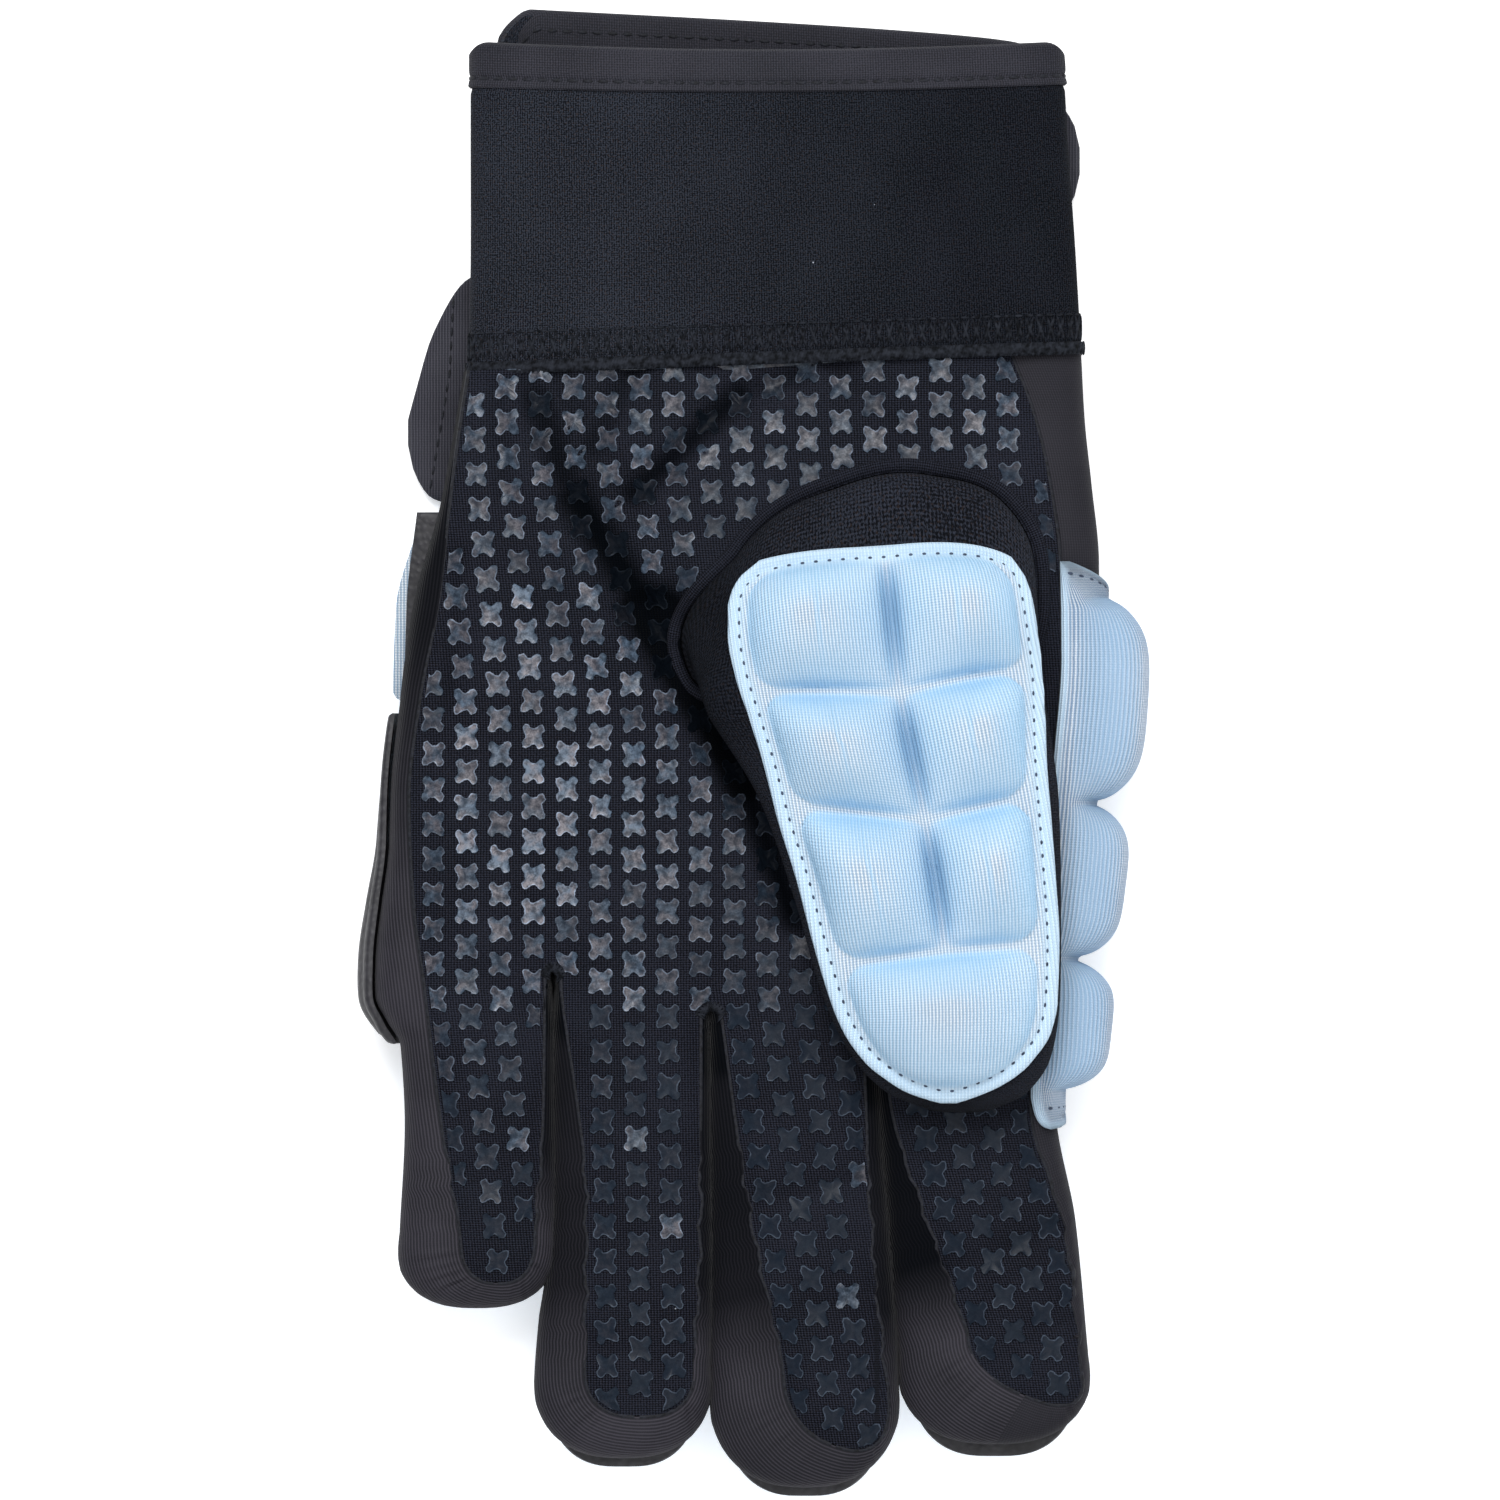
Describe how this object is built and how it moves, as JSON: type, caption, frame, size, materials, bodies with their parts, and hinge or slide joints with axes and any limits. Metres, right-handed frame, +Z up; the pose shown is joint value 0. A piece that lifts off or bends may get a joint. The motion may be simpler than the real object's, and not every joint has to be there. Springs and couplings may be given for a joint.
{
  "type": "indoor hockey glove",
  "caption": "Left-hand padded glove lying palm up: grip palm, foam-padded thumb folded over, side and back pads, long cuff.",
  "frame": {"origin": "on the floor under the middle of the glove as it lies palm up", "axes": "+Y from the fingertips to the cuff, +X towards the thumb side, +Z up out of the palm"},
  "size_m": [0.1354, 0.2538, 0.046],
  "materials": {
    "grip_fabric": "fine rib knit, navy black, printed with small clear silicone crosses",
    "stretch_fabric": "charcoal ribbed stretch knit with a slight sheen",
    "thumb_mesh": "coarse black mesh knit, matt",
    "pad_fabric": "light blue knit laminated over moulded foam",
    "backing": "black grained synthetic leather",
    "cuff_neoprene": "black neoprene with a fine brushed knit face",
    "binding": "dark stretch binding tape, stitched",
    "strap": "charcoal stretch fabric over a thin wrist strap with a stitched edge"
  },
  "bodies": {
    "root": {"grip_panel": "grip_fabric", "back_panel": "stretch_fabric", "side_wall_little": "stretch_fabric", "fourchette_little_ring": "stretch_fabric", "fourchette_ring_middle": "stretch_fabric", "fourchette_middle_index": "stretch_fabric", "side_wall_index": "stretch_fabric", "thumb_shell": "thumb_mesh", "thumb_pad": "pad_fabric", "index_side_pad": "pad_fabric", "little_side_pad": "backing", "back_pad_base": "backing", "back_pad": "pad_fabric", "little_pad_base": "backing", "little_finger_pad": "pad_fabric", "ring_pad_base": "backing", "ring_finger_pad": "pad_fabric", "middle_pad_base": "backing", "middle_finger_pad": "pad_fabric", "index_pad_base": "backing", "index_finger_pad": "pad_fabric", "cuff": "cuff_neoprene", "cuff_binding": "binding", "wrist_strap": "strap"}
  },
  "joints": []
}
